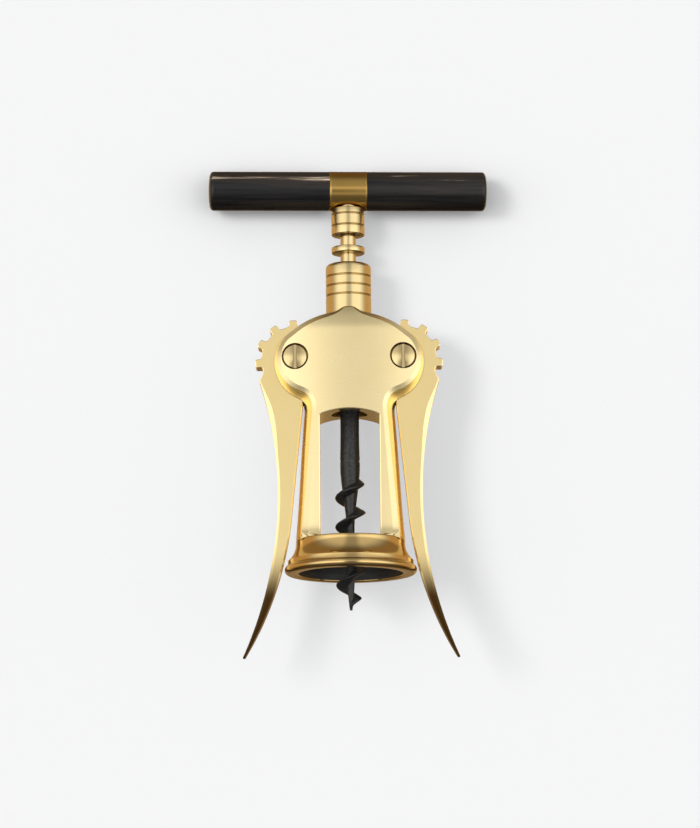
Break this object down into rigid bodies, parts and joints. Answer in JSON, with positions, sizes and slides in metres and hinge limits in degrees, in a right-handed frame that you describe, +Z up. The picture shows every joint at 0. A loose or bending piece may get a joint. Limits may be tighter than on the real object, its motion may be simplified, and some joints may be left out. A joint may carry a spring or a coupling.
{
  "type": "lever corkscrew",
  "caption": "Winged lever corkscrew lying on its back: cast frame with a bell, two geared levers, ring rack, steel worm and a T handle of horn.",
  "frame": {"origin": "middle of the bounding box in X and Y, on the plane the object lies on: bottom of the bell's rim and of the handle's sleeve", "axes": "+Y along the worm's axis from the bell to the handle, seen from above; +X along the handle to the right; +Z up, out of the front face"},
  "size_m": [0.1, 0.175, 0.0465],
  "materials": {
    "polished_brass": "cast and polished, clear lacquered",
    "turned_brass": "turned, satin",
    "blackened_steel": "blackened, low gloss",
    "bright_steel": "plain turned steel",
    "black_nylon": "moulded, fine matt",
    "horn": "dark horn, rubbed to a soft gloss"
  },
  "bodies": {
    "frame": {"frame_body": "polished_brass", "neck_bush": "black_nylon", "bell_liner": "black_nylon", "pivot_screw_left": "turned_brass", "pivot_screw_right": "turned_brass", "pivot_barrel_left": "turned_brass", "pivot_barrel_right": "turned_brass", "lever_washers_left": "bright_steel", "lever_washers_right": "bright_steel"},
    "rack": {"rack_sleeve": "turned_brass"},
    "spindle": {"thrust_washer_upper": "bright_steel", "thrust_washer_lower": "bright_steel", "spindle_shaft": "blackened_steel", "worm": "blackened_steel", "hub": "turned_brass", "handle_sleeve": "turned_brass", "handle_tie_rod": "bright_steel", "horn_left": "horn", "horn_right": "horn"},
    "lever_left": {"lever_left": "polished_brass"},
    "lever_right": {"lever_right": "polished_brass"}
  },
  "joints": [
    {"name": "rack_slide", "type": "slide", "parent": "frame", "child": "rack", "axis": [0, 0.9931, -0.1171], "range_m": [-0.0196, 0]},
    {"name": "handle_turn", "type": "hinge", "parent": "rack", "child": "spindle", "pos_m": [0, 0.06144, 0.00937], "axis": [0, 0.9931, -0.1171], "continuous": true},
    {"name": "left_lever_swing", "type": "hinge", "parent": "frame", "child": "lever_left", "pos_m": [-0.01918, 0.01854, 0.01359], "axis": [0.0436, -0.117, -0.9922], "range_deg": [0, 83.2]},
    {"name": "right_lever_swing", "type": "hinge", "parent": "frame", "child": "lever_right", "pos_m": [0.01918, 0.01874, 0.01525], "axis": [-0.0436, 0.117, 0.9922], "range_deg": [0, 83.2]}
  ],
  "couplings": [
    {"joint": "left_lever_swing", "follows": "rack_slide", "rad_per_m": -74.074},
    {"joint": "right_lever_swing", "follows": "rack_slide", "rad_per_m": -74.074}
  ]
}
